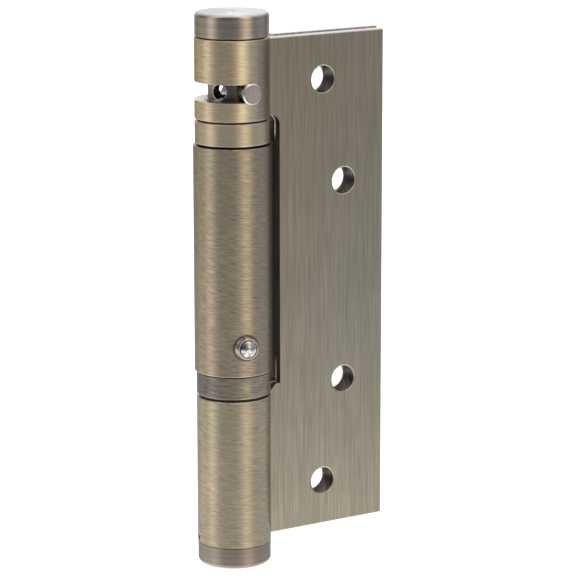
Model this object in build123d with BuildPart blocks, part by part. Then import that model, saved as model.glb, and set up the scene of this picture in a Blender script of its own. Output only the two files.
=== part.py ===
# Single-action spring hinge, closed and upright.
# The origin is on the axis of the barrel, halfway up the leaves. +Z runs up the barrel, both leaves reach
# out to +X, and the frame leaf is on the -Y side of the door leaf. All sizes are millimetres.

import os
from math import cos, degrees, radians, sin, sqrt

from build123d import *

os.makedirs("parts", exist_ok=True)

# Leaves
leaf_height = 127.0
leaf_reach = 43.0  # from the barrel's axis to the free edge
leaf_thickness = 2.5
leaf_gap = 0.3  # between the closed leaves
door_leaf_lift = 0.35  # the door leaf's blank stands this much higher, with its holes in line
edge_break = 0.3
knuckle_notch = 12.1  # from the axis to the edge of each knuckle notch
notch_fillet = 2.4
notch_step = 1.75  # the frame leaf's notch ends this far above the bottom knuckle
notch_lead = 1.2  # width of the sloping end of that step

# Screw holes, in two rows mirrored about the middle of the leaf
screw_hole_diameter = 6.8
countersink_diameter = 11.4
screw_rows = ((24.8, 11.5), (31.0, 37.7))  # from the axis, and from the nearer end of the leaf

# Barrel
knuckle_diameter = 18.6
bore_diameter = 13.6
barrel_overhang = 0.65  # each end of the barrel stands this far past the leaf
top_knuckle_length = 20.0
bottom_knuckle_length = 38.05
upper_gap = 0.45
lower_gap = 0.65
knuckle_chamfer = 0.2

# Tension slot, collar and stop pin, all centred on one height in the top knuckle
slot_height = 7.0  # from the bottom of the top knuckle to the middle of the slot
slot_width = 4.5
pin_angle = -92.0  # azimuth of the stop pin at rest, from +X
tension_travel = 184.0  # how far the collar turns with the pin in the slot
stop_clearance = 0.1
collar_hole_count = 6
collar_hole_diameter = 3.7
collar_waist_diameter = 12.3
collar_bore_diameter = 7.2
collar_floor = 3.2  # solid metal under the collar's bore
collar_end_gap = 0.55  # below the spigot of the top cap
collar_shoulder = 4.9  # bottom flange
collar_top_flange = 3.9
stem_diameter = 8.0
stem_tip_diameter = 5.0
pin_diameter = 3.6
pin_reach = 2.4  # from the axis to the tip of the pin
pin_head_gap = 0.15  # between the head and the knuckle
pin_head_diameter = 5.2
pin_head_thickness = 1.0
pin_head_chamfer = 0.28
pin_tip_chamfer = 0.4

# Cover sleeve on the middle knuckle
sleeve_diameter = 19.5
sleeve_wall = 0.4
sleeve_start = 6.1  # from the top of the middle knuckle to the sleeve
sleeve_end = 5.9  # from the sleeve to the bottom of the middle knuckle
groove_width = 0.6
groove_depth = 0.5
sleeve_opening = (-6.0, 26.0)  # azimuths of its two long edges, each side of the leaf's root
sleeve_edge = 0.12

# Anchor rivet
rivet_angle = -101.5
rivet_height = 7.45  # above the bottom of the sleeve
rivet_shank_diameter = 3.0
rivet_reach = 3.0  # from the axis to the tip of the shank
rivet_head_diameter = 4.3
rivet_head_depth = 1.0  # from the rim of the head to its underside
rivet_crown = 0.7  # height of the dome above the rim
rivet_clearance = 0.2  # from the top of the dome to the notch in the frame leaf that it swings past
rivet_seat_depth = 0.55  # below the outside of the knuckle
rivet_ring_diameter = 6.2
rivet_ring_end_diameter = 5.3  # the ring tapers to this outside the sleeve
rivet_ring_bore = 4.65
rivet_ring_drop = 0.05  # from the rim of the rivet's head down to the end of the ring
rivet_ring_lip = 0.15

# Caps
top_cap_diameter = 18.4
top_cap_height = 5.95
top_cap_seat = 0.3  # shadow gap under the rim of the top cap
top_cap_seat_diameter = 16.4
bottom_cap_diameter = 18.4
bottom_cap_height = 5.25
cap_fillet = 1.0
cap_rim_chamfer = 0.1
cap_spigot = 6.0
lock_pin_diameter = 1.2
lock_pin_height = 1.2  # above the bottom of the barrel
lock_pin_angle = 164.8
lock_pin_length = 3.6
lock_pin_recess = 0.5

# Bushings and washers
upper_bushing_length = 5.0
lower_bushing_length = 7.0
washer_diameter = 17.2
washer_bore = 8.6
washer_clearance = 0.05

# Spring and what holds it
wire_size = 1.8  # square wire
coil_diameter = 9.6  # mean
coil_turns = 6
tang_depth = 2.5  # how far the bent end of the wire reaches into its hole
tang_clearance = 0.1  # on each side
hub_flange_thickness = 3.0
hub_flange_diameter = 12.8
hub_boss_diameter = 7.4
hub_boss_length = 6.5
hub_pin_diameter = 2.0
hub_pin_length = 7.0
hub_pin_height = 2.5  # above the bottom of the hub
anchor_length = 17.5
anchor_boss_length = 5.0
spring_end_gap = 0.3

# Pivot under the spring
pivot_diameter = 8.0
pivot_plug_length = 24.0
pivot_plug_drop = 0.35  # below the top of the bottom knuckle
ball_diameter = 4.0
ball_seat_diameter = 3.6

# Fits
running_clearance = 0.05  # radial, on what turns
press_clearance = 0.03  # radial, on what is pressed in and never moves
seat_clearance = 0.03

knuckle_radius = knuckle_diameter / 2
bore_radius = bore_diameter / 2
plug_radius = bore_radius - press_clearance
plate_outer = leaf_gap / 2 + leaf_thickness
plate_root = (bore_radius + knuckle_radius) / 2  # the plate starts inside the wall of its knuckles

barrel_top = leaf_height / 2 + barrel_overhang
barrel_bottom = -barrel_top
top_knuckle_bottom = barrel_top - top_knuckle_length
bottom_knuckle_top = barrel_bottom + bottom_knuckle_length
middle_top = top_knuckle_bottom - upper_gap
middle_bottom = bottom_knuckle_top + lower_gap
slot_middle = top_knuckle_bottom + slot_height
sleeve_top = middle_top - sleeve_start
sleeve_bottom = middle_bottom + sleeve_end
rivet_middle = sleeve_bottom + rivet_height


def radial_plane(angle, height):
    """The plane across a radius of the barrel, with its origin on the axis and its normal outwards."""
    outwards = (cos(radians(angle)), sin(radians(angle)), 0)
    return Plane(origin=(0, 0, height), x_dir=(0, 0, 1), z_dir=outwards)


def turned(*section):
    """Revolves a half section of radius and height points about the barrel's axis."""
    with BuildSketch(Plane.XZ) as half:
        with BuildLine():
            Polyline(*section, close=True)
        make_face()
    revolve(half.sketch, axis=Axis.Z)


def radial_rod(plane, diameter, start, end, mode=Mode.ADD):
    """A round bar or hole along a radius, from one distance from the axis to another."""
    with BuildSketch(plane.offset(start)) as end_face:
        Circle(diameter / 2)
    extrude(end_face.sketch, amount=end - start, mode=mode)


def circles(builder, radius):
    """The round edges of one radius on the part so far."""
    rims = builder.edges().filter_by(GeomType.CIRCLE)
    return rims.filter_by(lambda edge: abs(edge.radius - radius) < 1e-6)


def knuckle(bottom, top):
    """A rolled knuckle tube with its outer rims chamfered."""
    turned(
        (bore_radius, bottom),
        (knuckle_radius - knuckle_chamfer, bottom),
        (knuckle_radius, bottom + knuckle_chamfer),
        (knuckle_radius, top - knuckle_chamfer),
        (knuckle_radius - knuckle_chamfer, top),
        (bore_radius, top),
    )


def seam(side, bottom, top):
    """The slit where the rolled end of a knuckle meets the inner face of its own plate."""
    with BuildSketch(Plane.XY.offset(bottom)) as slit:
        with Locations((knuckle_radius, side * leaf_gap / 4)):
            Rectangle(2 * (knuckle_radius - bore_radius) + 1, leaf_gap / 2)
    extrude(slit.sketch, amount=top - bottom, mode=Mode.SUBTRACT)


def plate(outer_face, middle, inwards):
    """The flat of a leaf with its free edges broken, before its knuckle notches are cut."""
    with BuildSketch(outer_face) as blank:
        with Locations((plate_root, middle)):
            Rectangle(leaf_reach - plate_root, leaf_height, align=(Align.MIN, Align.CENTER))
    slab = extrude(blank.sketch, amount=inwards * leaf_thickness)
    free_edges = slab.edges().filter_by_position(Axis.X, leaf_reach, leaf_reach)
    end_edges = slab.edges().filter_by(Axis.X)
    chamfer(free_edges + end_edges, edge_break)


def screw_holes(inner_face):
    """Countersunk from the inner face, which shows when the door is open."""
    spots = [(x, side * (leaf_height / 2 - z)) for x, z in screw_rows for side in (-1, 1)]
    with Locations(inner_face):
        with Locations(*spots):
            CounterSinkHole(
                screw_hole_diameter / 2,
                countersink_diameter / 2,
                depth=2 * leaf_thickness,
                counter_sink_angle=90,
            )


# Frame leaf: one plate rolled into the top and bottom knuckles, with the tension slot in the top one.
frame_outer_face = Plane.XZ.offset(plate_outer)
frame_inner_face = Plane(origin=(0, -leaf_gap / 2, 0), x_dir=(1, 0, 0), z_dir=(0, 1, 0))
pin_radius_gap = (slot_width - pin_diameter) / 2 - stop_clearance
pin_lead = degrees(pin_radius_gap / knuckle_radius)  # the pin stops this far past the centre of a slot end
slot_first = pin_angle - pin_lead
slot_last = pin_angle - tension_travel + pin_lead
slot_cut = knuckle_radius + 1
notch_bottom = bottom_knuckle_top + notch_step

with BuildPart() as frame_leaf:
    plate(frame_outer_face, 0, inwards=-1)
    with BuildSketch(frame_outer_face):
        with BuildLine():
            Polyline(
                (0, bottom_knuckle_top),
                (knuckle_notch - notch_step - notch_lead, bottom_knuckle_top),
                (knuckle_notch - notch_lead, notch_bottom),
                (knuckle_notch, notch_bottom),
                (knuckle_notch, top_knuckle_bottom),
                (0, top_knuckle_bottom),
                close=True,
            )
        notch = make_face()
        fillet(notch.vertices().group_by(Axis.Y)[-1].sort_by(Axis.X)[-1], notch_fillet)
    extrude(amount=-2 * leaf_thickness, mode=Mode.SUBTRACT)
    for bottom, top in ((barrel_bottom, bottom_knuckle_top), (top_knuckle_bottom, barrel_top)):
        knuckle(bottom, top)
        seam(-1, bottom, top)
    with BuildSketch(Plane.XY.offset(slot_middle - slot_width / 2)):
        with BuildLine():
            rim = CenterArc((0, 0), slot_cut, slot_last, slot_first - slot_last)
            Polyline(rim @ 1, (0, 0), rim @ 0)
        make_face()
    extrude(amount=slot_width, mode=Mode.SUBTRACT)
    for angle in (slot_first, slot_last):
        radial_rod(radial_plane(angle, slot_middle), slot_width, 0, slot_cut, Mode.SUBTRACT)
    lock_plane = radial_plane(lock_pin_angle, barrel_bottom + lock_pin_height)
    lock_hole = lock_pin_diameter + 2 * press_clearance
    radial_rod(lock_plane, lock_hole, 0, slot_cut, Mode.SUBTRACT)
    screw_holes(frame_inner_face)
frame_leaf.part.label = "frame_leaf"
export_step(frame_leaf.part, "parts/frame_leaf.step")

# Door leaf: one plate rolled into the middle knuckle, with a shadow groove above the cover sleeve and a
# seat for the rivet.
door_outer_face = Plane.XZ.offset(-plate_outer)
door_inner_face = Plane.XZ.offset(-leaf_gap / 2)
rivet_plane = radial_plane(rivet_angle, rivet_middle)
rivet_seat = knuckle_radius - rivet_seat_depth
rivet_top = knuckle_notch - rivet_clearance
rivet_head_rim = rivet_top - rivet_crown
rivet_head_underside = rivet_head_rim - rivet_head_depth
rivet_ring_end = rivet_head_rim - rivet_ring_drop
door_top = leaf_height / 2 + door_leaf_lift
door_bottom = door_top - leaf_height

with BuildPart() as door_leaf:
    plate(door_outer_face, door_leaf_lift, inwards=1)
    for bottom, top in ((middle_top, door_top), (door_bottom, middle_bottom)):
        with BuildSketch(door_outer_face):
            with Locations((0, (bottom + top) / 2)):
                notch = Rectangle(knuckle_notch, top - bottom, align=(Align.MIN, Align.CENTER))
            inner = notch.vertices().filter_by_position(Axis.X, knuckle_notch, knuckle_notch)
            corner = inner.sort_by(Axis.Y)[0 if top == door_top else -1]
            fillet(corner, notch_fillet)
        extrude(amount=2 * leaf_thickness, mode=Mode.SUBTRACT)
    knuckle(middle_bottom, middle_top)
    seam(1, middle_bottom, middle_top)
    with BuildSketch(Plane.XY.offset(sleeve_top)):
        Circle(knuckle_radius + 1)
        Circle(knuckle_radius - groove_depth, mode=Mode.SUBTRACT)
        Rectangle(knuckle_radius + 1, plate_outer, align=(Align.MIN, Align.MIN), mode=Mode.SUBTRACT)
    extrude(amount=groove_width, mode=Mode.SUBTRACT)
    ring_hole = rivet_ring_diameter + 2 * press_clearance
    radial_rod(rivet_plane, ring_hole, rivet_seat, knuckle_radius + 1, Mode.SUBTRACT)
    rivet_hole = rivet_shank_diameter + 2 * press_clearance
    radial_rod(rivet_plane, rivet_hole, 0, knuckle_radius, Mode.SUBTRACT)
    screw_holes(door_inner_face)
door_leaf.part.label = "door_leaf"
export_step(door_leaf.part, "parts/door_leaf.step")

# Cover sleeve: a thin rolled shell, open at the door leaf's root.
sleeve_radius = sleeve_diameter / 2

with BuildPart() as cover_sleeve:
    with BuildSketch(Plane.XY.offset(sleeve_bottom)):
        Circle(sleeve_radius)
        Circle(sleeve_radius - sleeve_wall, mode=Mode.SUBTRACT)
        with BuildLine():
            first, last = sleeve_opening
            rim = CenterArc((0, 0), sleeve_radius + 1, first, last - first)
            Polyline(rim @ 1, (0, 0), rim @ 0)
        make_face(mode=Mode.SUBTRACT)
    extrude(amount=sleeve_top - sleeve_bottom)
    chamfer(circles(cover_sleeve, sleeve_radius), sleeve_edge)
    radial_rod(rivet_plane, ring_hole, 0, sleeve_radius + 1, Mode.SUBTRACT)
cover_sleeve.part.label = "cover_sleeve"
export_step(cover_sleeve.part, "parts/cover_sleeve.step")

# Caps: turned, each with a spigot pressed into its knuckle.
top_cap_radius = top_cap_diameter / 2
top_cap_bottom = barrel_top + top_cap_seat
top_cap_top = top_cap_bottom + top_cap_height
top_spigot_end = barrel_top - cap_spigot

with BuildPart() as top_cap:
    turned(
        (0, top_spigot_end),
        (plug_radius, top_spigot_end),
        (plug_radius, barrel_top),
        (top_cap_seat_diameter / 2, barrel_top),
        (top_cap_seat_diameter / 2, top_cap_bottom),
        (top_cap_radius - cap_rim_chamfer, top_cap_bottom),
        (top_cap_radius, top_cap_bottom + cap_rim_chamfer),
        (top_cap_radius, top_cap_top),
        (0, top_cap_top),
    )
    fillet(circles(top_cap, top_cap_radius).sort_by(Axis.Z)[-1], cap_fillet)
top_cap.part.label = "top_cap"
export_step(top_cap.part, "parts/top_cap.step")

bottom_cap_radius = bottom_cap_diameter / 2
bottom_cap_end = barrel_bottom - bottom_cap_height
lock_pin_end = knuckle_radius - lock_pin_recess
lock_pin_start = lock_pin_end - lock_pin_length

with BuildPart() as bottom_cap:
    turned(
        (0, barrel_bottom + cap_spigot),
        (plug_radius, barrel_bottom + cap_spigot),
        (plug_radius, barrel_bottom),
        (bottom_cap_radius - cap_rim_chamfer, barrel_bottom),
        (bottom_cap_radius, barrel_bottom - cap_rim_chamfer),
        (bottom_cap_radius, bottom_cap_end),
        (0, bottom_cap_end),
    )
    fillet(circles(bottom_cap, bottom_cap_radius).sort_by(Axis.Z)[0], cap_fillet)
    radial_rod(lock_plane, lock_hole, lock_pin_start - seat_clearance, bore_radius, Mode.SUBTRACT)
bottom_cap.part.label = "bottom_cap"
export_step(bottom_cap.part, "parts/bottom_cap.step")

with BuildPart() as cap_lock_pin:
    radial_rod(lock_plane, lock_pin_diameter, lock_pin_start, lock_pin_end)
cap_lock_pin.part.label = "cap_lock_pin"
export_step(cap_lock_pin.part, "parts/cap_lock_pin.step")

# Tension collar: turned, hollow behind its six radial holes, with a stem down through the upper bushing.
collar_bottom = top_knuckle_bottom
collar_top = top_spigot_end - collar_end_gap
collar_flange_radius = bore_radius - running_clearance
waist_radius = collar_waist_diameter / 2
waist_bottom = collar_bottom + collar_shoulder
waist_top = collar_top - collar_top_flange
stem_radius = stem_diameter / 2
tip_radius = stem_tip_diameter / 2
hub_top = middle_top - upper_bushing_length - spring_end_gap
hub_flange_bottom = hub_top - hub_flange_thickness
hub_bottom = hub_flange_bottom - hub_boss_length
hub_pin_hole = hub_pin_diameter + 2 * press_clearance


def hub_pin_bar(diameter, length, mode):
    """A bar or hole across the stem at the height of the hub's pin."""
    with BuildSketch(Plane.YZ.offset(-length / 2)) as end_face:
        with Locations((0, hub_bottom + hub_pin_height)):
            Circle(diameter / 2)
    extrude(end_face.sketch, amount=length, mode=mode)


with BuildPart() as tension_collar:
    turned(
        (0, hub_bottom),
        (tip_radius, hub_bottom),
        (tip_radius, hub_top),
        (stem_radius, hub_top),
        (stem_radius, collar_bottom),
        (collar_flange_radius, collar_bottom),
        (collar_flange_radius, waist_bottom),
        (waist_radius, waist_bottom),
        (waist_radius, waist_top),
        (collar_flange_radius, waist_top),
        (collar_flange_radius, collar_top),
        (collar_bore_diameter / 2, collar_top),
        (collar_bore_diameter / 2, collar_bottom + collar_floor),
        (0, collar_bottom + collar_floor),
    )
    for index in range(collar_hole_count):
        hole_plane = radial_plane(pin_angle + index * 360 / collar_hole_count, slot_middle)
        radial_rod(hole_plane, collar_hole_diameter, 0, bore_radius, Mode.SUBTRACT)
    hub_pin_bar(hub_pin_hole, stem_diameter, Mode.SUBTRACT)
tension_collar.part.label = "tension_collar"
export_step(tension_collar.part, "parts/tension_collar.step")

# Stop pin: its shank reaches through the slot into a collar hole, and its head stays outside the knuckle.
pin_plane = radial_plane(pin_angle, slot_middle)
pin_head_start = knuckle_radius + pin_head_gap
pin_head_end = pin_head_start + pin_head_thickness

with BuildPart() as stop_pin:
    radial_rod(pin_plane, pin_diameter, pin_reach, pin_head_start)
    tip_edge = circles(stop_pin, pin_diameter / 2).sort_by_distance(pin_plane.origin)[0]
    chamfer(tip_edge, pin_tip_chamfer)
    radial_rod(pin_plane, pin_head_diameter, pin_head_start, pin_head_end)
    face_edge = circles(stop_pin, pin_head_diameter / 2).sort_by_distance(pin_plane.origin)[-1]
    chamfer(face_edge, pin_head_chamfer)
stop_pin.part.label = "stop_pin"
export_step(stop_pin.part, "parts/stop_pin.step")

# Bushings, one in each end of the middle knuckle.
stem_bore = stem_radius + running_clearance
pivot_radius = pivot_diameter / 2
pivot_bore = pivot_radius + running_clearance

with BuildPart() as upper_bushing:
    with BuildSketch(Plane.XY.offset(middle_top - upper_bushing_length)):
        Circle(plug_radius)
        Circle(stem_bore, mode=Mode.SUBTRACT)
    extrude(amount=upper_bushing_length)
upper_bushing.part.label = "upper_bushing"
export_step(upper_bushing.part, "parts/upper_bushing.step")

with BuildPart() as lower_bushing:
    with BuildSketch(Plane.XY.offset(middle_bottom)):
        Circle(plug_radius)
        Circle(pivot_bore, mode=Mode.SUBTRACT)
    extrude(amount=lower_bushing_length)
lower_bushing.part.label = "lower_bushing"
export_step(lower_bushing.part, "parts/lower_bushing.step")

# Thrust washers, which fill the gaps between the knuckles but stand back from their rims.
with BuildPart() as upper_thrust_washer:
    with BuildSketch(Plane.XY.offset(middle_top + washer_clearance)):
        Circle(washer_diameter / 2)
        Circle(washer_bore / 2, mode=Mode.SUBTRACT)
    extrude(amount=upper_gap - 2 * washer_clearance)
upper_thrust_washer.part.label = "upper_thrust_washer"
export_step(upper_thrust_washer.part, "parts/upper_thrust_washer.step")

with BuildPart() as lower_thrust_washer:
    with BuildSketch(Plane.XY.offset(bottom_knuckle_top + washer_clearance)):
        Circle(washer_diameter / 2)
        Circle(washer_bore / 2, mode=Mode.SUBTRACT)
    extrude(amount=lower_gap - 2 * washer_clearance)
lower_thrust_washer.part.label = "lower_thrust_washer"
export_step(lower_thrust_washer.part, "parts/lower_thrust_washer.step")

# Spring hub: fixed to the stem by a cross pin, with a hole in its flange for the spring's upper end.
coil_radius = coil_diameter / 2
boss_radius = hub_boss_diameter / 2
tang_hole = wire_size + 2 * tang_clearance

with BuildPart() as spring_hub:
    turned(
        (tip_radius + press_clearance, hub_bottom),
        (boss_radius, hub_bottom),
        (boss_radius, hub_flange_bottom),
        (hub_flange_diameter / 2, hub_flange_bottom),
        (hub_flange_diameter / 2, hub_top),
        (tip_radius + press_clearance, hub_top),
    )
    with BuildSketch(Plane.XY.offset(hub_flange_bottom)):
        with Locations((coil_radius, 0)):
            Rectangle(tang_hole, tang_hole)
    extrude(amount=hub_flange_thickness, mode=Mode.SUBTRACT)
    hub_pin_bar(hub_pin_hole, hub_boss_diameter + 1, Mode.SUBTRACT)
spring_hub.part.label = "spring_hub"
export_step(spring_hub.part, "parts/spring_hub.step")

with BuildPart() as hub_pin:
    hub_pin_bar(hub_pin_diameter, hub_pin_length, Mode.ADD)
hub_pin.part.label = "hub_pin"
export_step(hub_pin.part, "parts/hub_pin.step")

# Spring anchor: the plug that the spring's lower end hooks into, held in the middle knuckle by the rivet.
anchor_bottom = middle_bottom + lower_bushing_length + spring_end_gap
anchor_top = anchor_bottom + anchor_length
ball_seat = ball_seat_diameter / 2

with BuildPart() as spring_anchor:
    turned(
        (0, anchor_bottom + ball_seat),
        (ball_seat, anchor_bottom),
        (plug_radius, anchor_bottom),
        (plug_radius, anchor_top),
        (boss_radius, anchor_top),
        (boss_radius, anchor_top + anchor_boss_length),
        (0, anchor_top + anchor_boss_length),
    )
    with BuildSketch(Plane.XY.offset(anchor_top)):
        with Locations((coil_radius, 0)):
            Rectangle(tang_hole, tang_hole)
    extrude(amount=-(tang_depth + spring_end_gap), mode=Mode.SUBTRACT)
    radial_rod(rivet_plane, rivet_hole, rivet_reach - seat_clearance, bore_radius, Mode.SUBTRACT)
spring_anchor.part.label = "spring_anchor"
export_step(spring_anchor.part, "parts/spring_anchor.step")

# Torsion spring: a square wire coil with both ends bent along the axis, one into the hub, one into the anchor.
coil_start = anchor_top + spring_end_gap + wire_size / 2
coil_end = hub_flange_bottom - spring_end_gap - wire_size / 2
coil_length = coil_end - coil_start

with BuildPart() as torsion_spring:
    with BuildLine(Plane.XY.offset(coil_start)):
        coil = Helix(coil_length / coil_turns, coil_length, coil_radius)
    with BuildSketch(Plane(origin=coil @ 0, x_dir=(1, 0, 0), z_dir=coil % 0)):
        Rectangle(wire_size, wire_size)
    sweep(path=coil, is_frenet=True)
    for first, last in ((anchor_top - tang_depth, coil_start), (coil_end, hub_flange_bottom + tang_depth)):
        with BuildSketch(Plane.XY.offset(first)):
            with Locations((coil_radius, 0)):
                Rectangle(wire_size, wire_size)
        extrude(amount=last - first)
torsion_spring.part.label = "torsion_spring"
export_step(torsion_spring.part, "parts/torsion_spring.step")

# Anchor rivet: a domed head over a shank, sunk in the end of a tapered ring that stands out of the sleeve.
with BuildPart() as anchor_rivet:
    crown_radius = ((rivet_head_diameter / 2) ** 2 + rivet_crown**2) / (2 * rivet_crown)
    radial_rod(rivet_plane, rivet_head_diameter, rivet_head_underside, rivet_top)
    with Locations(rivet_plane.offset(rivet_top - crown_radius)):
        Sphere(crown_radius, mode=Mode.INTERSECT)
    radial_rod(rivet_plane, rivet_shank_diameter, rivet_reach, rivet_head_underside)
anchor_rivet.part.label = "anchor_rivet"
export_step(anchor_rivet.part, "parts/anchor_rivet.step")

with BuildPart() as rivet_ring:
    radial_rod(rivet_plane, rivet_ring_diameter, rivet_seat, sleeve_radius)
    with Locations(rivet_plane.offset(sleeve_radius)):
        Cone(
            rivet_ring_diameter / 2,
            rivet_ring_end_diameter / 2,
            rivet_ring_end - sleeve_radius,
            align=(Align.CENTER, Align.CENTER, Align.MIN),
        )
    chamfer(circles(rivet_ring, rivet_ring_end_diameter / 2), rivet_ring_lip)
    radial_rod(rivet_plane, rivet_hole, rivet_seat, rivet_ring_end, Mode.SUBTRACT)
    ring_floor = rivet_head_underside - seat_clearance
    radial_rod(rivet_plane, rivet_ring_bore, ring_floor, rivet_ring_end, Mode.SUBTRACT)
rivet_ring.part.label = "rivet_ring"
export_step(rivet_ring.part, "parts/rivet_ring.step")

# Bearing ball and pivot: the ball sits between two right-angled cones.
ball_radius = ball_diameter / 2
cone_reach = (ball_radius + seat_clearance) * sqrt(2)
ball_middle = anchor_bottom + ball_seat - cone_reach
pivot_top = ball_middle - cone_reach + ball_seat
pivot_plug_top = bottom_knuckle_top - pivot_plug_drop

with BuildPart() as bearing_ball:
    with Locations((0, 0, ball_middle)):
        Sphere(ball_radius)
bearing_ball.part.label = "bearing_ball"
export_step(bearing_ball.part, "parts/bearing_ball.step")

with BuildPart() as pivot_pin:
    turned(
        (0, pivot_top - ball_seat),
        (ball_seat, pivot_top),
        (pivot_radius, pivot_top),
        (pivot_radius, pivot_plug_top),
        (plug_radius, pivot_plug_top),
        (plug_radius, pivot_plug_top - pivot_plug_length),
        (0, pivot_plug_top - pivot_plug_length),
    )
pivot_pin.part.label = "pivot_pin"
export_step(pivot_pin.part, "parts/pivot_pin.step")
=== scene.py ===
# Looks of the spring hinge: brushed antique brass leaves, barrel and caps round a steel tension collar.
from math import cos, radians, sin

import bpy
from mathutils import Matrix, Vector


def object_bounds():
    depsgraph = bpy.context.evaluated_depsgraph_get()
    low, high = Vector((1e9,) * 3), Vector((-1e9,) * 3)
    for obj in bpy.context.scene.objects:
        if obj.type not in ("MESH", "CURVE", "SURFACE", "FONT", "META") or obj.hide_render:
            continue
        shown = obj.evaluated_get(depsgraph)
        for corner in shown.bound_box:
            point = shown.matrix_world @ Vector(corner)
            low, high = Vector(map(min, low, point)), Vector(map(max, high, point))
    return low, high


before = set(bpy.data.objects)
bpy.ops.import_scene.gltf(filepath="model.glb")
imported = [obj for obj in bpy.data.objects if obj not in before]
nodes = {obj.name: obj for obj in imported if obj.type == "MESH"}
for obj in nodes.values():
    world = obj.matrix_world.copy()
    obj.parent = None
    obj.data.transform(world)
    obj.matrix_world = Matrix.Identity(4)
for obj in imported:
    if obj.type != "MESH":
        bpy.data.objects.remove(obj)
cad_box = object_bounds()

MM = 0.001

# Camera, fitted to the photograph's edges and screw holes
VIEW_AZIMUTH = radians(-32.091)
VIEW_ELEVATION = radians(12.541)
VIEW_ROLL = radians(-0.076)
VIEW_DISTANCE = 700.114 * MM
AIM_RIGHT = 13.672 * MM
AIM_UP = 1.079 * MM
FOCAL_LENGTH_PX = 2806.2
FRAME_PX = 576
SENSOR_MM = 36.0

# Light on the hinge: an even room, and lobes of light round it. Each lobe has its azimuth from the
# camera's own direction, its sharpness, its strength low and high in the room, and its colour
ROOM = (0.05, 0.052, 0.056)
LOBES = (
    (-72, 20, 0.55, 0.7, (0.95, 0.95, 1.0)),
    (-112, 14, 0.4, 0.0, (1.0, 0.95, 0.7)),
    (42, 20, 0.28, 1.15, (1.0, 0.93, 0.78)),
    (100, 10, 0.05, 0.4, (0.85, 0.95, 1.2)),
    (180, 5, 0.1, 1.1, (0.95, 0.97, 1.0)),
)
LOBE_HEIGHTS = (-0.3, 0.2)
# Light added by height: its colour, and the heights where it starts and is full. A height in the room is
# the upward part of a direction, from -1 to 1
GLOWS = (
    ((0.52, 0.6, 0.72), -0.17, -0.31),
    ((0.52, 0.45, 0.32), -0.31, -0.6),
    ((0.5, 0.5, 0.5), 0.3, 0.9),
)

# Heights on the barrel and distances from its axis, in mm
CAP_TOP, BARREL_TOP, SLOT_TOP, SLOT_BOTTOM, TOP_KNUCKLE_END = 70.4, 64.15, 53.4, 48.9, 44.15
MIDDLE_TOP, GROOVE_TOP, SLEEVE_TOP, SLEEVE_END, MIDDLE_END = 43.7, 38.2, 37.6, -19.55, -25.45
LOWER_KNUCKLE_TOP, BARREL_END = -26.1, -64.15
KNUCKLE_RADIUS, BORE_RADIUS, WAIST_RADIUS = 9.3, 6.8, 6.15

# Places on the leaves, in mm: x of the notch's edge and the free edge, y of the outer face, z of the ends
NOTCH_EDGE, LEAF_EDGE, PLATE_FACE, LEAF_END = 12.1, 43.0, -2.65, 63.5
SCREW_HOLES = ((24.8, 52.0), (31.0, 25.8))  # x, and height above and below the middle
HOLE_RADIUS, SINK_RADIUS, RIM_WIDTH = 3.4, 5.7, 0.3
NOTCH_BEVEL, BEVEL_SLOPE = -0.85, 3.7  # y where the notch's inner edge turns to the front, and how much

# The rivet and the stop pin: azimuth in degrees, and height and radii in mm
RIVET_AZIMUTH, RIVET_HEIGHT = -101.5, -12.1
# Radii of painted shade round the rivet's seat on the sleeve, and round the dome's edge
RIVET_SEAT_SHADE, RIVET_EDGE_SHADE = (3.1, 3.6), (1.9, 2.1)
PIN_AZIMUTH, PIN_HEIGHT = -92.0, 51.15
# The last pair of radii here bound the painted highlight on the pin head's bevel
PIN_LINE, PIN_BEVEL_HIGHLIGHT = (1.95, 2.15, 2.2, 2.3), (2.25, 2.35)
# Two of the collar's holes get painted highlights on their rims
HIGHLIGHT_HOLES, HOLE_RIM_HIGHLIGHT = (60, 120), (1.86, 2.2)  # holes with bright rims, in degrees from the pin's

# Where zones of tone start and are full, in mm along x, or along z for the foot of the leaf
# The third pair places painted shade on the top knuckle's side next to the leaf
FREE_SIDE, LEAF_FOOT, SHADED_SIDE, PALE_SIDE = (13, 30), (-10, -60), (0.8, 2.4), (-2, 1)
# A painted highlight band down the front of the top knuckle:
HIGHLIGHT_BAND_X, HIGHLIGHT_BAND = -1.3, (1.2, 2.6)  # the band's middle, and how far from it the band fades
# The sleeve's pairs place painted shade over its side and beside the leaf; the collar's, painted shade on
# its outside
SLEEVE_SIDE_SHADE, SLEEVE_SHADE, COLLAR_SHADE = (-1, 4), (4.9, 6.7), (-6.3, -5.4)
# How far from the notch's ends light gets in, in mm: none and full, at the top and at the bottom
NOTCH_LIT_ABOVE, NOTCH_LIT_BELOW = (7, 2), (9, 3)

# Slope of the shading on the top knuckle and the caps, which are a little out of round
TOP_LEAN, CAP_LEAN = -0.08, 0.05

# The belt's strokes as cells of noise per metre. Round the barrel: along the arc, outwards and upwards,
# with the slant of a belt held by hand. On the leaf: along x, y and z
FINE_ROUND = (360, 300, 3400)
BARREL_STROKES, BARREL_SLANT = (190, 200, 1500), 0.065
SLEEVE_STROKES, SLEEVE_SLANT = (190, 200, 2400), 0.16
CAP_STROKES, CAP_SLANT = (12, 200, 1300), 0
FINE_ALONG, COARSE_ALONG = (3800, 600, 75), (1200, 200, 18)
COLLAR_RINGS = (40, 40, 3000)

# How dark the strokes are, and how rough the plate is
KNUCKLE_DEPTH, LEAF_DEPTH, SLEEVE_DEPTH, CAP_DEPTH = 0.75, 0.7, 0.95, 0.2
KNUCKLE_ROUGH, LEAF_ROUGH, SLEEVE_ROUGH, FACED_ROUGH = 0.31, 0.37, 0.32, 0.5
CAP_ROUGH, END_CAP_ROUGH, PLATE_SWING = 0.23, 0.33, 0.045

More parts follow.
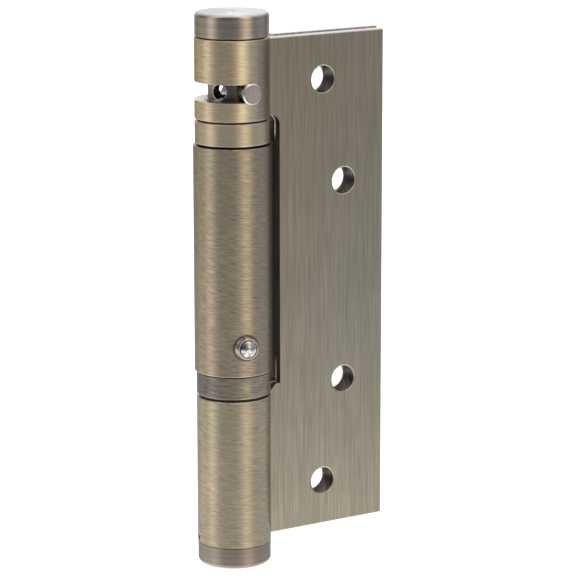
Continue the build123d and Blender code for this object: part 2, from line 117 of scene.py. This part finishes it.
# Tones of each finish: plain, rubbed bright, and dark in the strokes
KNUCKLE_TONES = ((0.62, 0.51, 0.345, 1), (0.74, 0.59, 0.37, 1), (0.36, 0.305, 0.225, 1))
TOP_TONES = ((0.913, 0.693, 0.441, 1), (1, 0.772, 0.461, 1), (0.478, 0.371, 0.26, 1))
SLEEVE_TONES = ((0.608, 0.483, 0.333, 1), (0.721, 0.559, 0.356, 1), (0.319, 0.262, 0.198, 1))
CAP_TONES = ((0.58, 0.475, 0.369, 1), (0.78, 0.635, 0.487, 1), (0.46, 0.39, 0.332, 1))
END_CAP_TONES = ((0.36, 0.298, 0.231, 1), (0.48, 0.389, 0.289, 1), (0.3, 0.24, 0.196, 1))
LEAF_TONES = ((0.596, 0.505, 0.365, 1), (0.646, 0.549, 0.395, 1), (0.343, 0.297, 0.225, 1))
COOL_TONES = ((0.59, 0.515, 0.395, 1), (0.625, 0.55, 0.42, 1), (0.34, 0.305, 0.245, 1))
RING_TONES = ((0.79, 0.62, 0.41, 1), (0.84, 0.66, 0.44, 1), (0.54, 0.44, 0.31, 1))
DULL_TONES = ((0.475, 0.39, 0.278, 1), (0.557, 0.456, 0.317, 1), (0.144, 0.122, 0.099, 1))
DARK_TONES = ((0.307, 0.278, 0.23, 1), (0.383, 0.332, 0.265, 1), (0.105, 0.094, 0.09, 1))
PALE_TONES = ((0.567, 0.473, 0.341, 1), (0.659, 0.55, 0.389, 1), (0.19, 0.159, 0.129, 1))
# Painted highlight down the front of the top knuckle
HIGHLIGHT_BAND_TONES = ((0.99, 0.802, 0.515, 1), (1, 0.842, 0.535, 1), (0.6, 0.495, 0.346, 1))
FOOT_TONES = ((0.68, 0.57, 0.395, 1), (0.73, 0.61, 0.425, 1), (0.42, 0.355, 0.26, 1))
STEEL_TONES = ((0.62, 0.54, 0.46, 1), (0.85, 0.76, 0.66, 1), (0.14, 0.12, 0.1, 1))
# The pin's bright tone is painted highlight, on its bevel and on the collar's hole rims
PIN_TONES = ((0.7, 0.63, 0.57, 1), (0.98, 0.93, 0.88, 1), (0.42, 0.37, 0.34, 1))
# Painted shade on the sleeve beside the leaf
SLEEVE_SHADE_TONES = ((0.18, 0.15, 0.12, 1), (0.22, 0.18, 0.145, 1), (0.11, 0.092, 0.078, 1))
BORE_TONES = ((0.306, 0.263, 0.246, 1), (0.54, 0.464, 0.425, 1), (0.144, 0.123, 0.119, 1))
SLOT_TONES = ((0.55, 0.5, 0.43, 1), (0.64, 0.58, 0.5, 1), (0.4, 0.36, 0.31, 1))
SHADOW_TONES = ((0.46, 0.44, 0.39, 1), (0.52, 0.5, 0.44, 1), (0.38, 0.36, 0.32, 1))
# Painted shade on the door leaf's face behind the notch
BEHIND_SHADE_TONES = ((0.2, 0.185, 0.19, 1), (0.23, 0.21, 0.22, 1), (0.16, 0.15, 0.15, 1))
SHEARED_TONES = ((0.92, 0.86, 0.83, 1), (0.97, 0.91, 0.88, 1), (0.78, 0.72, 0.69, 1))
FACED_TONES = ((0.8, 0.77, 0.75, 1), (0.84, 0.81, 0.79, 1), (0.74, 0.7, 0.68, 1))
# The black of painted shade in the groove, at seams and round the rivet
SHADE_BLACK = (0.03, 0.027, 0.026, 1)
# The colour of painted highlights on edges and screw-hole rims
EDGE_HIGHLIGHT = (0.98, 0.88, 0.74, 1)

# Bright and dark tones of the rivet and the washers
RIVET_TONES = ((0.95, 0.9, 0.87, 1), (0.42, 0.37, 0.35, 1))
NYLON_TONES = ((0.012, 0.011, 0.011, 1), (0.03, 0.028, 0.027, 1))

# Plain metals: name, bright and dark tone, roughness, and the pieces made of it
PLAIN_METALS = (
    ("small_pin_steel", (0.6, 0.56, 0.52, 1), (0.45, 0.42, 0.39, 1), 0.3, ("cap_lock_pin", "hub_pin")),
    ("ring_nickel", (0.62, 0.57, 0.53, 1), (0.5, 0.46, 0.43, 1), 0.25, ("rivet_ring",)),
    (
        "pivot_steel",
        (0.38, 0.38, 0.38, 1),
        (0.24, 0.24, 0.24, 1),
        0.3,
        ("pivot_pin", "bearing_ball", "spring_anchor", "spring_hub"),
    ),
    ("spring_steel", (0.2, 0.2, 0.21, 1), (0.1, 0.1, 0.1, 1), 0.35, ("torsion_spring",)),
    (
        "bushing_bronze",
        (0.45, 0.3, 0.15, 1),
        (0.3, 0.2, 0.1, 1),
        0.35,
        ("upper_bushing", "lower_bushing"),
    ),
)

FLOOR_HALF = 3.0
PAPER_TONES, PAPER_GLOW = ((0.93, 0.93, 0.93, 1), (0.97, 0.97, 0.97, 1)), 0.7


def view_axes():
    """The camera's right, up and backward directions."""
    right = Vector((cos(VIEW_AZIMUTH), sin(VIEW_AZIMUTH), 0))
    back = Vector(
        (
            sin(VIEW_AZIMUTH) * cos(VIEW_ELEVATION),
            -cos(VIEW_AZIMUTH) * cos(VIEW_ELEVATION),
            sin(VIEW_ELEVATION),
        )
    )
    return right, back.cross(right), back


def make_camera():
    right, up, back = view_axes()
    data = bpy.data.cameras.new("camera")
    data.sensor_width = SENSOR_MM
    data.lens = FOCAL_LENGTH_PX * SENSOR_MM / FRAME_PX
    data.clip_start = 0.01
    data.clip_end = 20
    camera = bpy.data.objects.new("camera", data)
    place = right * AIM_RIGHT + up * AIM_UP + back * VIEW_DISTANCE
    turn = Matrix((right, up, back)).transposed().to_4x4()
    camera.matrix_world = Matrix.Translation(place) @ turn @ Matrix.Rotation(VIEW_ROLL, 4, "Z")
    bpy.context.scene.collection.objects.link(camera)
    bpy.context.scene.camera = camera


class Shader:
    """A material's or the world's nodes, added one call at a time.

    Its masks are 1 in a place and 0 elsewhere. Their limits stand a few hundredths of a mm off the faces
    that they part, so that each face falls wholly on one side.
    """

    def __init__(self, name="", tree=None):
        if tree is None:
            self.material = bpy.data.materials.new(name)
            self.material.use_nodes = True
            tree = self.material.node_tree
        self.tree = tree
        self.tree.nodes.clear()
        kind = "World" if isinstance(tree.id_data, bpy.types.World) else "Material"
        self.output = self.tree.nodes.new("ShaderNodeOutput" + kind)
        spot = self.add("ShaderNodeTexCoord").outputs
        self.position = spot["Generated" if kind == "World" else "Object"]
        parts = self.add("ShaderNodeSeparateXYZ", {0: self.position}).outputs
        self.x, self.y, self.z = parts["X"], parts["Y"], parts["Z"]
        self.flat = self.stretch(self.position, (1, 1, 0))
        self.radius = self.vector("LENGTH", self.flat, output="Value")

    def add(self, kind, inputs=(), **settings):
        node = self.tree.nodes.new(kind)
        for name, value in settings.items():
            setattr(node, name, value)
        for name, value in dict(inputs).items():
            self.set(node.inputs[name], value)
        return node

    def set(self, socket, value):
        if isinstance(value, bpy.types.NodeSocket):
            self.tree.links.new(value, socket)
        else:
            socket.default_value = value

    def math(self, operation, first, second=0.0):
        return self.add("ShaderNodeMath", {0: first, 1: second}, operation=operation).outputs[0]

    def vector(self, operation, first, second=(0, 0, 0), output="Vector"):
        inputs = {0: first, 1: second}
        return self.add("ShaderNodeVectorMath", inputs, operation=operation).outputs[output]

    def stretch(self, vector, scale):
        """The vector with each axis multiplied."""
        return self.vector("MULTIPLY", vector, scale)

    def noise(self, vector, scale=1.0, detail=3.0, roughness=0.6):
        inputs = {"Vector": vector, "Scale": scale, "Detail": detail, "Roughness": roughness}
        return self.add("ShaderNodeTexNoise", inputs).outputs["Fac"]

    def remap(self, value, low, high, to_low, to_high):
        inputs = {0: value, 1: low, 2: high, 3: to_low, 4: to_high}
        return self.add("ShaderNodeMapRange", inputs).outputs[0]

    def ramp(self, value, start, full, low=0, high=1):
        """The low number where a coordinate is at the start in mm, and the high one where it is full."""
        return self.remap(value, start * MM, full * MM, low, high)

    def below(self, value, limit, blend=0.06):
        """1 where a coordinate is under a limit in mm, 0 above it."""
        return self.ramp(value, limit - blend / 2, limit + blend / 2, 1, 0)

    def above(self, value, limit, blend=0.06):
        return self.ramp(value, limit - blend / 2, limit + blend / 2)

    def all_of(self, *masks):
        """The product of masks, or of masks and a value that they limit."""
        total = masks[0]
        for mask in masks[1:]:
            total = self.math("MULTIPLY", total, mask)
        return total

    def any_of(self, *masks):
        total = masks[0]
        for mask in masks[1:]:
            total = self.math("MAXIMUM", total, mask)
        return total

    def near_levels(self, levels, full, reach):
        """1 within a full distance in mm of any of the heights, 0 beyond the reach."""
        masks = []
        for level in levels:
            away = self.math("ABSOLUTE", self.math("SUBTRACT", self.z, level * MM))
            masks.append(self.ramp(away, full, reach, 1, 0))
        return self.any_of(*masks)

    def mix(self, factor, first, second):
        node = self.add("ShaderNodeMix", data_type="RGBA")
        for index, value in ((0, factor), (6, first), (7, second)):
            self.set(node.inputs[index], value)
        return node.outputs[2]

    def mix_values(self, factor, first, second):
        return self.add("ShaderNodeMix", {0: factor, 2: first, 3: second}).outputs[0]

    def mix_tones(self, factor, tones, others):
        return [self.mix(factor, first, second) for first, second in zip(tones, others)]

    def glow(self, light, color, amount):
        """The light with some more of one colour added."""
        more = self.add("ShaderNodeVectorMath", {0: color, 3: amount}, operation="SCALE").outputs[0]
        return self.vector("ADD", light, more)

    def bump(self, height, distance, strength=1.0, under=None):
        inputs = {"Height": height, "Distance": distance, "Strength": strength}
        if under is not None:
            inputs["Normal"] = under
        return self.add("ShaderNodeBump", inputs).outputs["Normal"]

    def finish(self, **inputs):
        named = {name.replace("_", " "): value for name, value in inputs.items()}
        surface = self.add("ShaderNodeBsdfPrincipled", named)
        self.tree.links.new(surface.outputs["BSDF"], self.output.inputs["Surface"])
        return self.material

    def arc(self):
        """The way round the barrel from the side away from the leaves."""
        flipped = [self.math("MULTIPLY", axis, -1) for axis in (self.y, self.x)]
        return self.math("MULTIPLY", self.math("ARCTAN2", *flipped), KNUCKLE_RADIUS * MM)

    def strokes_round(self, cells, slant):
        """Noise drawn out round the barrel, fine and coarse. cells are the coarse strokes' own."""
        arc = self.arc()
        slanted = self.math("ADD", self.z, self.math("MULTIPLY", arc, slant))
        inputs = {0: arc, 1: self.radius, 2: slanted}
        stroke = self.add("ShaderNodeCombineXYZ", inputs).outputs[0]
        fine = self.noise(self.stretch(stroke, FINE_ROUND), detail=4, roughness=0.65)
        return fine, self.noise(self.stretch(stroke, cells))

    def strokes_along(self):
        """Noise drawn out along the leaf's height, fine and coarse."""
        fine = self.noise(self.stretch(self.position, FINE_ALONG), detail=4, roughness=0.65)
        return fine, self.noise(self.stretch(self.position, COARSE_ALONG))

    def from_axis(self, azimuth, height):
        """How far a place is from a level axis through the barrel."""
        side = (-sin(radians(azimuth)), cos(radians(azimuth)), 0)
        aside = self.vector("DOT_PRODUCT", self.position, side, output="Value")
        higher = self.math("SUBTRACT", self.z, height * MM)
        offset = self.add("ShaderNodeCombineXYZ", {0: aside, 1: higher}).outputs[0]
        return self.vector("LENGTH", offset, output="Value")

    def from_rivet(self):
        return self.from_axis(RIVET_AZIMUTH, RIVET_HEIGHT)

    def screw_holes(self):
        """How far a place is from the nearest screw hole's axis, and a mask for the holes' lower halves."""
        face = self.stretch(self.position, (1, 0, 1))
        nearest, lower = None, None
        for x, height in SCREW_HOLES:
            for z in (height, -height):
                away = self.vector("DISTANCE", face, (x * MM, 0, z * MM), output="Value")
                half = self.all_of(self.below(away, HOLE_RADIUS + 1), self.below(self.z, z - 1.2, blend=2))
                nearest = away if nearest is None else self.math("MINIMUM", nearest, away)
                lower = half if lower is None else self.any_of(lower, half)
        return nearest, lower

    def across_belt(self):
        """The direction across strokes that run round the barrel: up its side, outwards on its ends."""
        return self.vector("ADD", self.flat, (0, 0, KNUCKLE_RADIUS * MM))

    def plated(self, strokes, tones, rough, across, depth, highlights=None, shade_mask=None, relief=None):
        """Antique plate, dark in the strokes, with painted highlights patchy along the strokes and painted
        shade.

        across is the direction across the strokes, and depth is how dark they are. The next two masks place
        painted highlight and painted shade, and relief is a normal that the strokes lie on.
        """
        fine, coarse = strokes
        base, bright, dark = tones
        cloud = self.noise(self.position, 90, 3, 0.55)
        color = self.mix(self.remap(coarse, 0.35, 0.65, 0, 1), base, bright)
        color = self.mix(self.math("MULTIPLY", self.remap(fine, 0.34, 0.62, 1, 0), depth), color, dark)
        color = self.mix(self.remap(cloud, 0.38, 0.68, 0, 0.2), color, dark)
        if highlights is not None:
            # Painted highlight, patchy along the coarse strokes
            patchy_highlight = self.math("MULTIPLY", highlights, self.remap(coarse, 0.3, 0.6, 0.35, 0.9))
            color = self.mix(patchy_highlight, color, EDGE_HIGHLIGHT)
        # Painted shade
        if shade_mask is not None:
            color = self.mix(shade_mask, color, SHADE_BLACK)
        return self.finish(
            Base_Color=color,
            Metallic=1.0,
            Roughness=self.math("ADD", self.remap(fine, 0.3, 0.7, PLATE_SWING, -PLATE_SWING), rough),
            Normal=self.bump(fine, 0.02 * MM, depth, relief),
            Anisotropic=0.75,
            Tangent=across,
        )


def on_leaf(shader):
    return shader.above(shader.radius, KNUCKLE_RADIUS + 0.05, blend=0.04)


def on_barrel(shader):
    return shader.below(shader.radius, KNUCKLE_RADIUS + 0.03, blend=0.04)


def top_knuckle(shader):
    return shader.all_of(on_barrel(shader), shader.above(shader.z, MIDDLE_TOP))


def sheared_ends(shader):
    """The end faces of the leaf, bare where it was cut."""
    height = shader.math("ABSOLUTE", shader.z)
    return shader.all_of(on_leaf(shader), shader.above(height, LEAF_END - 0.2, blend=0.1))


def shaded_lifted_end(shader):
    """Painted shade on the sliver of the door leaf's inner face that shows over the frame leaf."""
    end = shader.above(shader.z, LEAF_END - 0.3, blend=0.1)
    return shader.all_of(end, shader.below(shader.y, 0.42, blend=0.1))


def away_from_barrel(shader):
    """The half of the leaf towards its free edge."""
    return shader.ramp(shader.x, *FREE_SIDE)


def low_on_leaf(shader):
    return shader.all_of(on_leaf(shader), shader.ramp(shader.z, *LEAF_FOOT))


def beside_notch(shader):
    """The space between the knuckles' own radius and the edge of the notch."""
    return shader.all_of(
        shader.below(shader.x, NOTCH_EDGE + 0.02, blend=0.02),
        shader.above(shader.radius, KNUCKLE_RADIUS + 0.1),
        shader.below(shader.z, TOP_KNUCKLE_END + 0.02, blend=0.02),
        shader.above(shader.z, LOWER_KNUCKLE_TOP - 0.02, blend=0.02),
    )


def notch_ends(shader):
    """Where light gets in at the two ends of the notch."""
    upper = shader.ramp(shader.z, *[TOP_KNUCKLE_END - away for away in NOTCH_LIT_ABOVE])
    lower = shader.ramp(shader.z, *[LOWER_KNUCKLE_TOP + away for away in NOTCH_LIT_BELOW])
    return shader.any_of(upper, lower)


def notch_wall(shader):
    return shader.all_of(beside_notch(shader), shader.above(shader.y, PLATE_FACE + 0.1, blend=0.1))


def lit_notch_wall(shader):
    return shader.all_of(notch_wall(shader), notch_ends(shader))


def notch_bevel(shader):
    """The inner edge of the notch, where it catches the light."""
    return shader.all_of(lit_notch_wall(shader), shader.above(shader.y, NOTCH_BEVEL, blend=0.15))


# Painted shade on the door leaf's face behind the notch
def shaded_behind_notch(shader):
    return shader.all_of(beside_notch(shader), shader.below(shader.y, 0.4))


def inside_knuckle(shader):
    return shader.below(shader.radius, BORE_RADIUS + 0.1)


def slot_faces(shader):
    return shader.below(shader.radius, KNUCKLE_RADIUS - 0.22)


def painted_highlight_band(shader):
    """A painted highlight band down the front of the top knuckle."""
    from_band = shader.math("ABSOLUTE", shader.math("SUBTRACT", shader.x, HIGHLIGHT_BAND_X * MM))
    return shader.all_of(top_knuckle(shader), shader.ramp(from_band, *HIGHLIGHT_BAND, 1, 0))


def shaded_knuckle_side(shader):
    """Painted shade on the top knuckle's side next to the leaf."""
    return shader.all_of(top_knuckle(shader), shader.ramp(shader.x, *SHADED_SIDE))


def upper_ring(shader):
    return shader.all_of(on_barrel(shader), shader.above(shader.z, SLEEVE_TOP))


def lower_ring(shader):
    return shader.all_of(on_barrel(shader), shader.below(shader.z, SLEEVE_END))


def dark_side(shader):
    """The lower ring, darker where y is above about -5.5 mm."""
    return shader.all_of(lower_ring(shader), shader.above(shader.y, -5.5, blend=3))


def pale_side(shader):
    side = shader.ramp(shader.x, *PALE_SIDE)
    return shader.all_of(lower_ring(shader), side, shader.below(shader.y, 0))


def groove_shade(shader):
    """Painted shade in the groove over the sleeve, and a painted shadow line under the sleeve."""
    cut = shader.all_of(
        shader.below(shader.radius, KNUCKLE_RADIUS - 0.1, blend=0.04),
        shader.near_levels([(GROOVE_TOP + SLEEVE_TOP) / 2], 0.32, 0.36),
    )
    line = shader.all_of(on_barrel(shader), shader.near_levels([SLEEVE_END - 0.15], 0.22, 0.32), 0.9)
    return shader.any_of(cut, line)


def frame_edge_highlights(shader):
    """Painted highlights on the top knuckle's lip, slot edges, notch's inner edge and leaf's free edge."""
    outside = shader.above(shader.radius, KNUCKLE_RADIUS - 0.22)
    lip = shader.near_levels([TOP_KNUCKLE_END], 0.25, 0.55)
    slot = shader.all_of(
        shader.near_levels([SLOT_TOP, SLOT_BOTTOM], 0.06, 0.22), shader.below(shader.x, 1.5)
    )
    on_knuckle = shader.all_of(on_barrel(shader), outside, shader.any_of(lip, slot))
    free_edge = shader.above(shader.x, LEAF_EDGE - 0.28, blend=0.1)
    return shader.any_of(on_knuckle, notch_bevel(shader), free_edge)


def door_edge_highlights(shader):
    """Painted highlights on the edges of the middle knuckle's rings."""
    return shader.all_of(on_barrel(shader), shader.near_levels([GROOVE_TOP, MIDDLE_END], 0.15, 0.4))


def hole_walls(shader, from_hole):
    """The walls of the screw holes, and of their countersinks on the leaf's inner face."""
    inner = shader.below(shader.math("ABSOLUTE", shader.y), -PLATE_FACE - 0.1, blend=0.1)
    return shader.any_of(
        shader.below(from_hole, HOLE_RADIUS + 0.01, blend=0.02),
        shader.all_of(shader.below(from_hole, SINK_RADIUS + 0.03, blend=0.02), inner),
    )


def leaf_material(name, zones, highlight_places, shade_mask=None, lean=0.0):
    """A leaf and its knuckles are one piece: brushed along the leaf, and round the knuckles.

    zones are pairs of a mask's maker and the tones that take the place of the knuckle's or the leaf's own.
    lean is the slope of the shading on the top knuckle.
    """
    shader = Shader(name)
    leaf = on_leaf(shader)
    pairs = zip(shader.strokes_round(BARREL_STROKES, BARREL_SLANT), shader.strokes_along())
    strokes = [shader.mix_values(leaf, first, second) for first, second in pairs]
    from_hole, lower_half = shader.screw_holes()

    tones = KNUCKLE_TONES
    masks = [(make(shader), others) for make, others in zones]
    for mask, others in [(leaf, LEAF_TONES)] + masks + [(hole_walls(shader, from_hole), BORE_TONES)]:
        tones = shader.mix_tones(mask, tones, others)

    rim = shader.ramp(from_hole, HOLE_RADIUS, HOLE_RADIUS + RIM_WIDTH, 1, 0)
    on_face = shader.above(from_hole, HOLE_RADIUS + 0.01, blend=0.02)
    # Painted highlight on the screw holes' lower rims
    rim_highlight = shader.all_of(rim, lower_half, on_face, leaf)
    highlights = shader.any_of(rim_highlight, highlight_places(shader))
    rounded = shader.bump(shader.math("SUBTRACT", 1.0, rim), 0.12 * MM, 0.8)
    out_of_round = shader.all_of(shader.arc(), top_knuckle(shader), lean)
    from_bevel = shader.math("SUBTRACT", shader.y, NOTCH_BEVEL * MM)
    turned = shader.all_of(from_bevel, BEVEL_SLOPE, notch_bevel(shader))
    relief = shader.bump(shader.math("ADD", out_of_round, turned), 1.0, under=rounded)

    across = shader.add(
        "ShaderNodeMix", {0: leaf, 4: shader.across_belt(), 5: (1, 0.03, 0.05)}, data_type="VECTOR"
    )
    rough = shader.remap(leaf, 0, 1, KNUCKLE_ROUGH, LEAF_ROUGH)
    depth = shader.remap(leaf, 0, 1, KNUCKLE_DEPTH, LEAF_DEPTH)
    # Painted shade, where the leaf has some
    dark = shade_mask(shader) if shade_mask else None
    return shader.plated(strokes, tones, rough, across.outputs[1], depth, highlights, dark, relief)


def sleeve_material():
    """Painted highlight on the lower lip; painted shade over the side, round the rivet and beside the leaf.
    """
    shader = Shader("antique_sleeve")
    # Painted highlight on the lower lip
    highlights = shader.near_levels([SLEEVE_END], 0.12, 0.3)
    front = shader.below(shader.y, 0)
    # Painted shade round the rivet's seat
    seat_shade = shader.all_of(shader.ramp(shader.from_rivet(), *RIVET_SEAT_SHADE, 0.85, 0), front)
    # Painted shade beside the leaf
    end = shader.all_of(shader.ramp(shader.x, *SLEEVE_SHADE), front)
    # Painted shade over the sleeve's side
    side_shade = shader.ramp(shader.x, *SLEEVE_SIDE_SHADE, 0, 0.4)
    tones = shader.mix_tones(side_shade, SLEEVE_TONES, [SLEEVE_TONES[2]] * 3)
    tones = shader.mix_tones(end, tones, SLEEVE_SHADE_TONES)
    strokes = shader.strokes_round(SLEEVE_STROKES, SLEEVE_SLANT)
    return shader.plated(strokes, tones, SLEEVE_ROUGH, shader.across_belt(), SLEEVE_DEPTH, highlights, seat_shade)


def cap_material(name, tones, side_rough):
    """Turned smooth, with a paler faced top, and painted shade on the spigot and at the seam with the
    knuckle.
    """
    shader = Shader(name)
    faced = shader.above(shader.z, CAP_TOP - 0.35, blend=0.7)
    tones = shader.mix_tones(faced, tones, FACED_TONES)
    # Painted shade on the spigot and at the seam with the knuckle
    seam_shade = shader.all_of(
        shader.below(shader.z, BARREL_TOP + 0.3, blend=0.02), shader.above(shader.z, BARREL_END, blend=0.02)
    )
    rough = shader.remap(faced, 0, 1, side_rough, FACED_ROUGH)
    lean = shader.bump(shader.math("MULTIPLY", shader.arc(), CAP_LEAN), 1.0)
    rings = shader.strokes_round(CAP_STROKES, CAP_SLANT)
    return shader.plated(rings, tones, rough, shader.across_belt(), CAP_DEPTH, shade_mask=seam_shade, relief=lean)


def collar_material():
    """Turned steel with the tool's fine rings, painted highlights on two holes' rims, painted shade on most
    of it.
    """
    shader = Shader("collar_steel")
    rings = shader.noise(shader.stretch(shader.position, COLLAR_RINGS))
    shade = shader.noise(shader.position, 260, 3, 0.6)
    color = shader.mix(shader.remap(rings, 0.38, 0.6, 1, 0), STEEL_TONES[0], STEEL_TONES[2])
    color = shader.mix(shader.remap(shade, 0.35, 0.65, 0, 0.5), color, STEEL_TONES[1])
    outside = shader.above(shader.radius, WAIST_RADIUS - 0.25, blend=0.1)
    # Painted shade on the outside, except towards -x
    painted_shade_outside = shader.all_of(shader.ramp(shader.x, *COLLAR_SHADE, 0, 0.8), outside)
    color = shader.mix(painted_shade_outside, color, STEEL_TONES[2])
    # Painted highlights on the rims of two holes
    holes = [shader.from_axis(PIN_AZIMUTH + turn, PIN_HEIGHT) for turn in HIGHLIGHT_HOLES]
    rim_highlights = [shader.ramp(away, *HOLE_RIM_HIGHLIGHT, 0.9, 0) for away in holes]
    color = shader.mix(shader.all_of(shader.any_of(*rim_highlights), outside), color, PIN_TONES[1])
    return shader.finish(
        Base_Color=color,
        Metallic=1.0,
        Roughness=shader.remap(rings, 0.3, 0.7, 0.2, 0.32),
        Normal=shader.bump(rings, 0.02 * MM, 0.8),
        Anisotropic=0.6,
        Tangent=shader.across_belt(),
    )


def pin_material():
    """Turned bright steel, with a painted highlight on the bevel round the head and a dark line inside it.
    """
    shader = Shader("pin_steel")
    from_pin = shader.from_axis(PIN_AZIMUTH, PIN_HEIGHT)
    grain = shader.noise(shader.position, 700, 3, 0.6)
    color = shader.mix(shader.remap(grain, 0.4, 0.6, 0, 0.5), PIN_TONES[0], PIN_TONES[2])
    line = shader.all_of(
        shader.ramp(from_pin, *PIN_LINE[:2], 0, 0.5), shader.ramp(from_pin, *PIN_LINE[2:], 1, 0)
    )
    color = shader.mix(line, color, PIN_TONES[2])
    # Painted highlight on the bevel
    color = shader.mix(shader.ramp(from_pin, *PIN_BEVEL_HIGHLIGHT), color, PIN_TONES[1])
    rough = shader.remap(grain, 0.3, 0.7, 0.26, 0.36)
    normal = shader.bump(grain, 0.008 * MM, 0.5)
    return shader.finish(Base_Color=color, Metallic=1.0, Roughness=rough, Normal=normal)


def rivet_material():
    """Polished, with fine dents in its dome from the setting tool, and painted shade round its edge."""
    shader = Shader("rivet_chrome")
    dents = shader.noise(shader.position, 900, 2, 0.5)
    color = shader.mix(shader.remap(dents, 0.42, 0.62, 0, 1), *RIVET_TONES)
    # Painted shade round the dome's edge
    color = shader.mix(shader.ramp(shader.from_rivet(), *RIVET_EDGE_SHADE, 0, 0.8), color, SHADE_BLACK)
    normal = shader.bump(dents, 0.12 * MM, 0.8)
    return shader.finish(Base_Color=color, Metallic=1.0, Roughness=0.2, Normal=normal)


def plain_metal(name, base, dark, roughness):
    """Turned or rolled metal with a fine uneven surface."""
    shader = Shader(name)
    cloud = shader.noise(shader.position, 900, 3, 0.6)
    broad = shader.noise(shader.position, 260, 2, 0.5)
    color = shader.mix(shader.remap(broad, 0.35, 0.65, 0, 0.5), base, dark)
    rough = shader.remap(cloud, 0.3, 0.7, roughness - 0.04, roughness + 0.06)
    normal = shader.bump(cloud, 0.006 * MM, 0.5)
    return shader.finish(Base_Color=color, Metallic=1.0, Roughness=rough, Normal=normal)


def nylon():
    shader = Shader("washer_nylon")
    grain = shader.noise(shader.position, 1200, 3, 0.6)
    color = shader.mix(grain, *NYLON_TONES)
    normal = shader.bump(grain, 0.01 * MM, 0.5)
    return shader.finish(Base_Color=color, Roughness=0.55, Normal=normal)


def dress(material, *names):
    for name in names:
        mesh = nodes[name].data
        mesh.materials.clear()
        mesh.materials.append(material)


def heading(azimuth):
    """The level direction at an azimuth counted from the camera's own."""
    angle = VIEW_AZIMUTH + radians(azimuth)
    return Vector((sin(angle), -cos(angle), 0))


def make_world():
    """White surroundings for the camera, and a softly lit room for all other light."""
    world = bpy.data.worlds.new("studio")
    bpy.context.scene.world = world
    world.use_nodes = True
    shader = Shader(tree=world.node_tree)
    level = shader.vector("NORMALIZE", shader.flat)
    light = ROOM
    for azimuth, sharpness, low, high, color in LOBES:
        turn = shader.vector("DOT_PRODUCT", level, heading(azimuth), output="Value")
        near = shader.math("MULTIPLY", shader.math("SUBTRACT", turn, 1.0), sharpness)
        lift = shader.remap(shader.z, *LOBE_HEIGHTS, low, high)
        light = shader.glow(light, color, shader.math("MULTIPLY", shader.math("EXPONENT", near), lift))
    for color, start, full in GLOWS:
        light = shader.glow(light, color, shader.remap(shader.z, start, full, 0, 1))
    lit = shader.add("ShaderNodeBackground", {"Color": light, "Strength": 1.0})
    seen = shader.add("ShaderNodeBackground", {"Color": (1, 1, 1, 1), "Strength": 1.0})
    path = shader.add("ShaderNodeLightPath")
    parts = (path.outputs["Is Camera Ray"], lit.outputs[0], seen.outputs[0])
    choice = shader.add("ShaderNodeMixShader", dict(enumerate(parts)))
    shader.set(shader.output.inputs["Surface"], choice.outputs[0])


def make_floor():
    """Pale paper under the hinge. Reflections pass it by and show the world's light from below."""
    level = cad_box[0][2]
    corners = [(x * FLOOR_HALF, y * FLOOR_HALF, level) for x, y in ((-1, -1), (1, -1), (1, 1), (-1, 1))]
    mesh = bpy.data.meshes.new("floor")
    mesh.from_pydata(corners, [], [(0, 1, 2, 3)])
    floor = bpy.data.objects.new("floor", mesh)
    bpy.context.scene.collection.objects.link(floor)
    shader = Shader("floor_paper")
    color = shader.mix(shader.noise(shader.position, 40, 2, 0.5), *PAPER_TONES)
    glow = {"Emission Color": (1, 1, 1, 1), "Emission Strength": PAPER_GLOW}
    mesh.materials.append(shader.finish(Base_Color=color, Roughness=0.9, **glow))
    floor.visible_glossy = False


make_camera()
make_world()
make_floor()

leaf_zones = [
    (away_from_barrel, COOL_TONES),
    (low_on_leaf, FOOT_TONES),
    (sheared_ends, SHEARED_TONES),
]
frame_zones = leaf_zones + [
    (top_knuckle, TOP_TONES),
    # Painted highlight band
    (painted_highlight_band, HIGHLIGHT_BAND_TONES),
    # Painted shade on the top knuckle's side
    (shaded_knuckle_side, LEAF_TONES),
    (slot_faces, SLOT_TONES),
    (inside_knuckle, BORE_TONES),
    (notch_wall, SHADOW_TONES),
    (lit_notch_wall, DULL_TONES),
]
door_zones = leaf_zones + [
    # Painted shade on the lifted sliver
    (shaded_lifted_end, BORE_TONES),
    (upper_ring, RING_TONES),
    (lower_ring, DULL_TONES),
    (dark_side, DARK_TONES),
    (pale_side, PALE_TONES),
    # Painted shade behind the notch
    (shaded_behind_notch, BEHIND_SHADE_TONES),
]
# The frame leaf has painted highlights on its edges
dress(leaf_material("antique_frame_leaf", frame_zones, frame_edge_highlights, lean=TOP_LEAN), "frame_leaf")
# The door leaf has painted shade in its groove and under the sleeve
dress(leaf_material("antique_door_leaf", door_zones, door_edge_highlights, groove_shade), "door_leaf")
dress(sleeve_material(), "cover_sleeve")
dress(cap_material("antique_cap", CAP_TONES, CAP_ROUGH), "top_cap")
dress(cap_material("antique_end_cap", END_CAP_TONES, END_CAP_ROUGH), "bottom_cap")
dress(collar_material(), "tension_collar")
dress(pin_material(), "stop_pin")
dress(rivet_material(), "anchor_rivet")
for name, base, dark, roughness, pieces in PLAIN_METALS:
    dress(plain_metal(name, base, dark, roughness), *pieces)
dress(nylon(), "upper_thrust_washer", "lower_thrust_washer")

bpy.context.scene.view_settings.view_transform = "Standard"
